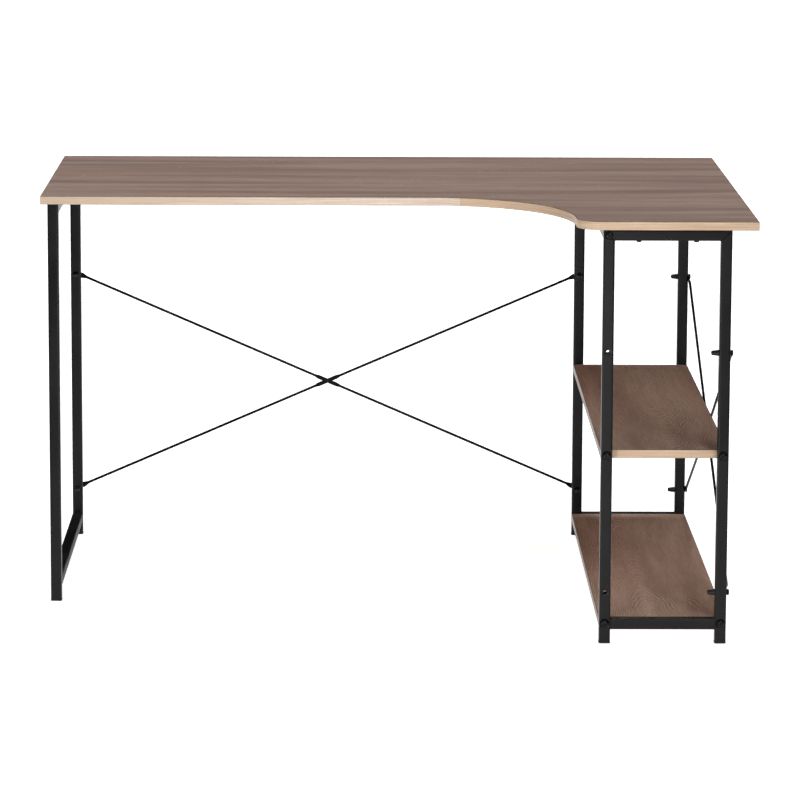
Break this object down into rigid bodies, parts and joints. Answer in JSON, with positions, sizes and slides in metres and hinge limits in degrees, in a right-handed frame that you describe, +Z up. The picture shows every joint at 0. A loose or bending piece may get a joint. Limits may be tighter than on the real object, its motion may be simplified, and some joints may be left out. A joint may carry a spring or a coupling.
{
  "type": "corner desk",
  "caption": "Corner desk with an L-shaped laminate top, a black square-tube frame, crossed brace rods and open shelves under the wing.",
  "frame": {"origin": "on the floor under the middle of the desk's bounding box", "axes": "+X along the long rear edge towards the wing's end, +Y from the user to the rear edge, +Z up"},
  "size_m": [1.27, 1, 0.75],
  "materials": {
    "desktop_laminate": "matt taupe-brown wood-grain laminate, grain along the long edge",
    "shelf_laminate": "matt brown wood-grain laminate, grain along the shelf's depth",
    "edge_band": "satin light oak edge band",
    "black_powder_coat": "satin black powder coat",
    "black_rod_paint": "satin black paint",
    "black_fastener": "black zinc plating, half gloss",
    "black_cap_nut": "half-gloss black",
    "black_plastic": "matt black moulded plastic"
  },
  "bodies": {
    "root": {"desktop_panel": "desktop_laminate", "middle_shelf_panel": "shelf_laminate", "bottom_shelf_panel": "shelf_laminate", "desktop_edge_band": "edge_band", "middle_shelf_edge_band": "edge_band", "bottom_shelf_edge_band": "edge_band", "left_front_leg": "black_powder_coat", "left_rear_leg": "black_powder_coat", "shelf_front_left_leg": "black_powder_coat", "shelf_front_right_leg": "black_powder_coat", "shelf_rear_left_leg": "black_powder_coat", "shelf_rear_right_leg": "black_powder_coat", "left_top_rail": "black_powder_coat", "left_bottom_rail": "black_powder_coat", "shelf_front_top_rail": "black_powder_coat", "shelf_front_bottom_rail": "black_powder_coat", "shelf_rear_top_rail": "black_powder_coat", "shelf_rear_bottom_rail": "black_powder_coat", "shelf_left_top_rail": "black_powder_coat", "rear_brace_rod_a": "black_rod_paint", "rear_brace_rod_b": "black_rod_paint", "side_brace_rod_a": "black_rod_paint", "side_brace_rod_b": "black_rod_paint", "foot_left_front": "black_plastic", "foot_left_rear": "black_plastic", "foot_shelf_front_left": "black_plastic", "foot_shelf_front_right": "black_plastic", "foot_shelf_rear_left": "black_plastic", "foot_shelf_rear_right": "black_plastic", "middle_shelf_screw_front_left": "black_fastener", "middle_shelf_screw_front_right": "black_fastener", "middle_shelf_screw_rear_left": "black_fastener", "middle_shelf_screw_rear_right": "black_fastener", "bottom_shelf_screw_front_left": "black_fastener", "bottom_shelf_screw_front_right": "black_fastener", "bottom_shelf_screw_rear_left": "black_fastener", "bottom_shelf_screw_rear_right": "black_fastener", "corner_bolt_front": "black_fastener", "corner_bolt_rear": "black_fastener", "desktop_screw_left": "black_fastener", "desktop_screw_right": "black_fastener", "rear_brace_bolt_left_top": "black_fastener", "rear_brace_bolt_left_bottom": "black_fastener", "rear_brace_bolt_right_top": "black_fastener", "rear_brace_bolt_right_bottom": "black_fastener", "side_brace_bolt_front_top": "black_fastener", "side_brace_bolt_front_bottom": "black_fastener", "side_brace_bolt_rear_top": "black_fastener", "side_brace_bolt_rear_bottom": "black_fastener", "rear_brace_rivet": "black_fastener", "side_brace_rivet": "black_fastener", "rear_brace_cap_nut_left_top": "black_cap_nut", "rear_brace_cap_nut_left_bottom": "black_cap_nut", "rear_brace_cap_nut_right_top": "black_cap_nut", "rear_brace_cap_nut_right_bottom": "black_cap_nut", "side_brace_cap_nut_front_top": "black_cap_nut", "side_brace_cap_nut_front_bottom": "black_cap_nut", "side_brace_cap_nut_rear_top": "black_cap_nut", "side_brace_cap_nut_rear_bottom": "black_cap_nut"}
  },
  "joints": []
}
